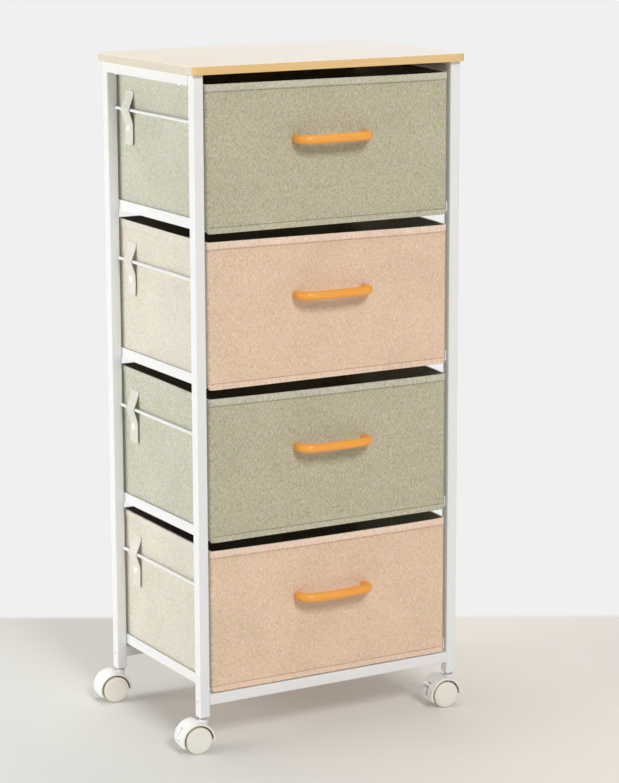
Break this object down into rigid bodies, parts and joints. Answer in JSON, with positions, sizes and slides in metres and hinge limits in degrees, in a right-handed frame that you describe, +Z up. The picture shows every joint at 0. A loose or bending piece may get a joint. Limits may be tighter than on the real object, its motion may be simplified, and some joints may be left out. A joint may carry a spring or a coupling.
{
  "type": "fabric drawer tower",
  "caption": "Narrow steel-framed tower with a board top, stacked fabric drawers that slide out on angle runners, bow handles and swivelling twin-wheel casters.",
  "frame": {"origin": "on the floor under the middle of the frame", "axes": "+X to the right seen from the front, drawers open towards -Y, +Z up"},
  "size_m": [0.4962, 0.3359, 0.9768],
  "materials": {
    "frame": "white powder coat",
    "board": "pale wood laminate, honey edge",
    "sage_cloth": "melange linen weave",
    "peach_cloth": "melange linen weave",
    "sage_strap": "folded linen weave",
    "peach_strap": "folded linen weave",
    "lining": "non-woven",
    "stiff_board": "grey board",
    "handle": "gloss",
    "steel": "zinc plated",
    "snap": "satin",
    "white_plastic": "satin",
    "wheel": "satin ivory"
  },
  "bodies": {
    "frame": {"left_posts": "frame", "right_posts": "frame", "top_rails": "frame", "front_cross_rail": "frame", "rear_cross_rail": "frame", "left_runners": "frame", "right_runners": "frame", "strap_rods": "frame", "top_board": "board", "post_plugs": "white_plastic", "caster_stems": "steel", "frame_bolts": "frame", "board_screws": "frame"},
    "drawer_1": {"drawer_1_cloth": "sage_cloth", "drawer_1_lining": "lining", "drawer_1_boards": "stiff_board", "drawer_1_handle": "handle", "drawer_1_handle_screws": "steel", "drawer_1_straps": "sage_strap", "drawer_1_snaps": "snap"},
    "drawer_2": {"drawer_2_cloth": "peach_cloth", "drawer_2_lining": "lining", "drawer_2_boards": "stiff_board", "drawer_2_handle": "handle", "drawer_2_handle_screws": "steel", "drawer_2_straps": "peach_strap", "drawer_2_snaps": "snap"},
    "drawer_3": {"drawer_3_cloth": "sage_cloth", "drawer_3_lining": "lining", "drawer_3_boards": "stiff_board", "drawer_3_handle": "handle", "drawer_3_handle_screws": "steel", "drawer_3_straps": "sage_strap", "drawer_3_snaps": "snap"},
    "drawer_4": {"drawer_4_cloth": "peach_cloth", "drawer_4_lining": "lining", "drawer_4_boards": "stiff_board", "drawer_4_handle": "handle", "drawer_4_handle_screws": "steel", "drawer_4_straps": "peach_strap", "drawer_4_snaps": "snap"},
    "front_left_caster": {"front_left_hood": "white_plastic", "front_left_axle": "steel"},
    "front_left_wheel_1": {"front_left_wheel_1": "wheel"},
    "front_left_wheel_2": {"front_left_wheel_2": "wheel"},
    "front_left_brake_pedal": {"front_left_brake_pedal": "white_plastic"},
    "front_right_caster": {"front_right_hood": "white_plastic", "front_right_axle": "steel"},
    "front_right_wheel_1": {"front_right_wheel_1": "wheel"},
    "front_right_wheel_2": {"front_right_wheel_2": "wheel"},
    "front_right_brake_pedal": {"front_right_brake_pedal": "white_plastic"},
    "rear_left_caster": {"rear_left_hood": "white_plastic", "rear_left_axle": "steel"},
    "rear_left_wheel_1": {"rear_left_wheel_1": "wheel"},
    "rear_left_wheel_2": {"rear_left_wheel_2": "wheel"},
    "rear_right_caster": {"rear_right_hood": "white_plastic", "rear_right_axle": "steel"},
    "rear_right_wheel_1": {"rear_right_wheel_1": "wheel"},
    "rear_right_wheel_2": {"rear_right_wheel_2": "wheel"}
  },
  "joints": [
    {"name": "drawer_1_slide", "type": "slide", "parent": "frame", "child": "drawer_1", "axis": [0, -1, 0], "range_m": [0, 0.204]},
    {"name": "drawer_2_slide", "type": "slide", "parent": "frame", "child": "drawer_2", "axis": [0, -1, 0], "range_m": [0, 0.204]},
    {"name": "drawer_3_slide", "type": "slide", "parent": "frame", "child": "drawer_3", "axis": [0, -1, 0], "range_m": [0, 0.204]},
    {"name": "drawer_4_slide", "type": "slide", "parent": "frame", "child": "drawer_4", "axis": [0, -1, 0], "range_m": [0, 0.204]},
    {"name": "front_left_swivel", "type": "hinge", "parent": "frame", "child": "front_left_caster", "pos_m": [-0.208, -0.135, 0.0466], "axis": [0, 0, 1], "continuous": true},
    {"name": "front_left_wheel_1_spin", "type": "hinge", "parent": "front_left_caster", "child": "front_left_wheel_1", "pos_m": [-0.22031, -0.13349, 0.02], "axis": [-0.1219, -0.9925, 0], "continuous": true},
    {"name": "front_left_wheel_2_spin", "type": "hinge", "parent": "front_left_caster", "child": "front_left_wheel_2", "pos_m": [-0.22031, -0.13349, 0.02], "axis": [-0.1219, -0.9925, 0], "continuous": true},
    {"name": "front_left_brake_hinge", "type": "hinge", "parent": "front_left_caster", "child": "front_left_brake_pedal", "pos_m": [-0.23718, -0.13142, 0.0319], "axis": [0.1219, 0.9925, 0], "range_deg": [0, 88]},
    {"name": "front_right_swivel", "type": "hinge", "parent": "frame", "child": "front_right_caster", "pos_m": [0.208, -0.135, 0.0466], "axis": [0, 0, 1], "continuous": true},
    {"name": "front_right_wheel_1_spin", "type": "hinge", "parent": "front_right_caster", "child": "front_right_wheel_1", "pos_m": [0.19563, -0.13414, 0.02], "axis": [-0.0698, -0.9976, 0], "continuous": true},
    {"name": "front_right_wheel_2_spin", "type": "hinge", "parent": "front_right_caster", "child": "front_right_wheel_2", "pos_m": [0.19563, -0.13414, 0.02], "axis": [-0.0698, -0.9976, 0], "continuous": true},
    {"name": "front_right_brake_hinge", "type": "hinge", "parent": "front_right_caster", "child": "front_right_brake_pedal", "pos_m": [0.17867, -0.13295, 0.0319], "axis": [0.0698, 0.9976, 0], "range_deg": [-88, 0]},
    {"name": "rear_left_swivel", "type": "hinge", "parent": "frame", "child": "rear_left_caster", "pos_m": [-0.208, 0.135, 0.0466], "axis": [0, 0, 1], "continuous": true},
    {"name": "rear_left_wheel_1_spin", "type": "hinge", "parent": "rear_left_caster", "child": "rear_left_wheel_1", "pos_m": [-0.22028, 0.13673, 0.02], "axis": [-0.1392, -0.9903, 0], "continuous": true},
    {"name": "rear_left_wheel_2_spin", "type": "hinge", "parent": "rear_left_caster", "child": "rear_left_wheel_2", "pos_m": [-0.22028, 0.13673, 0.02], "axis": [-0.1392, -0.9903, 0], "continuous": true},
    {"name": "rear_right_swivel", "type": "hinge", "parent": "frame", "child": "rear_right_caster", "pos_m": [0.208, 0.135, 0.0466], "axis": [0, 0, 1], "continuous": true},
    {"name": "rear_right_wheel_1_spin", "type": "hinge", "parent": "rear_right_caster", "child": "rear_right_wheel_1", "pos_m": [0.21986, 0.13862, 0.02], "axis": [-0.2924, 0.9563, 0], "continuous": true},
    {"name": "rear_right_wheel_2_spin", "type": "hinge", "parent": "rear_right_caster", "child": "rear_right_wheel_2", "pos_m": [0.21986, 0.13862, 0.02], "axis": [-0.2924, 0.9563, 0], "continuous": true}
  ]
}
